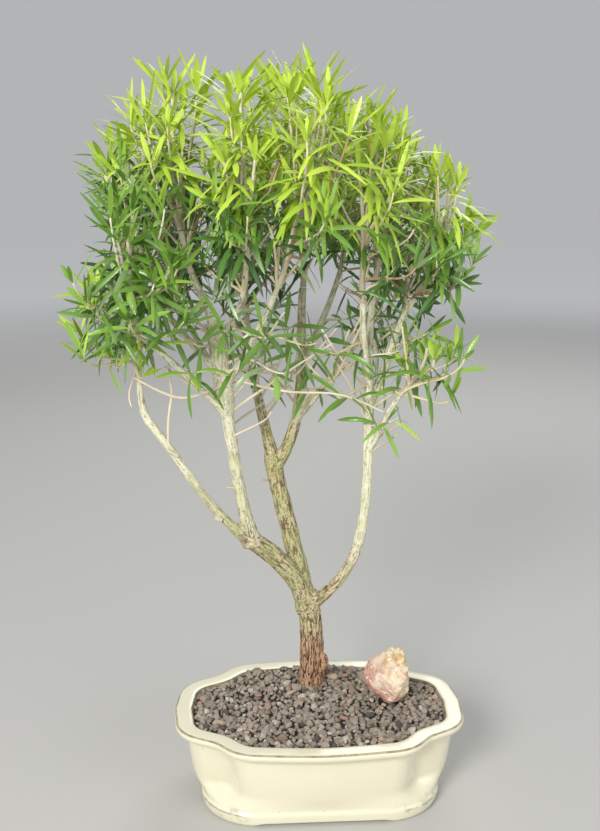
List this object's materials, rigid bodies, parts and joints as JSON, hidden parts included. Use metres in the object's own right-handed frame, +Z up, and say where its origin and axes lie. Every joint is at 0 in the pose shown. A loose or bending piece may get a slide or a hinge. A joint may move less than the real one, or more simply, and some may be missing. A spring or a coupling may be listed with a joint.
{
  "type": "potted bottlebrush bonsai",
  "caption": "Young bottlebrush bonsai with bare forked boughs and an open crown of long slim leaves, in a low lobed cream pot filled with grey grit and a small pink rock.",
  "frame": {"origin": "under the middle of the whole plant's bounding box, at the height of the pot's feet", "axes": "+Z up, +X to the right and -Y towards the viewer along the pot's short side, X along the pot's long side"},
  "size_m": [0.3452, 0.2648, 0.6139],
  "materials": {
    "cream_glaze": "glossy cream glaze with small dark pits",
    "grey_gravel": "loose angular grit, matt",
    "pink_rock": "rough, banded cream and pink",
    "brown_bark": "deeply fissured bark",
    "grey_bark": "rough grey-green bark",
    "pale_bark": "smooth pale bark",
    "old_leaves": "matt dark green leaves",
    "new_leaves": "fresh yellow-green leaves"
  },
  "bodies": {
    "root": {"pot": "cream_glaze", "gravel": "grey_gravel", "rock": "pink_rock", "trunk": "brown_bark", "left_low_bough": "grey_bark", "middle_bough": "grey_bark", "right_low_bough": "pale_bark", "left_outer_bough": "pale_bark", "left_upright_bough": "pale_bark", "left_knee_bough": "pale_bark", "left_top_bough": "pale_bark", "left_front_branch": "pale_bark", "left_upper_branch": "pale_bark", "left_back_branch": "pale_bark", "centre_front_branch": "pale_bark", "centre_top_branch": "pale_bark", "middle_left_bough": "pale_bark", "middle_right_bough": "pale_bark", "back_right_branch": "pale_bark", "inner_right_branch": "pale_bark", "right_bough": "pale_bark", "right_top_bough": "pale_bark", "right_front_branch": "pale_bark", "right_outer_branch": "pale_bark", "right_back_branch": "pale_bark", "right_low_branch": "pale_bark", "foliage_left_low": "old_leaves", "foliage_left_front": "old_leaves", "foliage_left_upper": "old_leaves", "foliage_left_top": "new_leaves", "foliage_left_back": "old_leaves", "foliage_centre_front": "new_leaves", "foliage_centre_top": "new_leaves", "foliage_middle_back": "old_leaves", "foliage_middle_top": "new_leaves", "foliage_back_right": "old_leaves", "foliage_inner_right": "old_leaves", "foliage_right_top": "old_leaves", "foliage_right_front": "old_leaves", "foliage_right_outer": "old_leaves", "foliage_right_back": "old_leaves", "foliage_right_low": "old_leaves"}
  },
  "joints": []
}
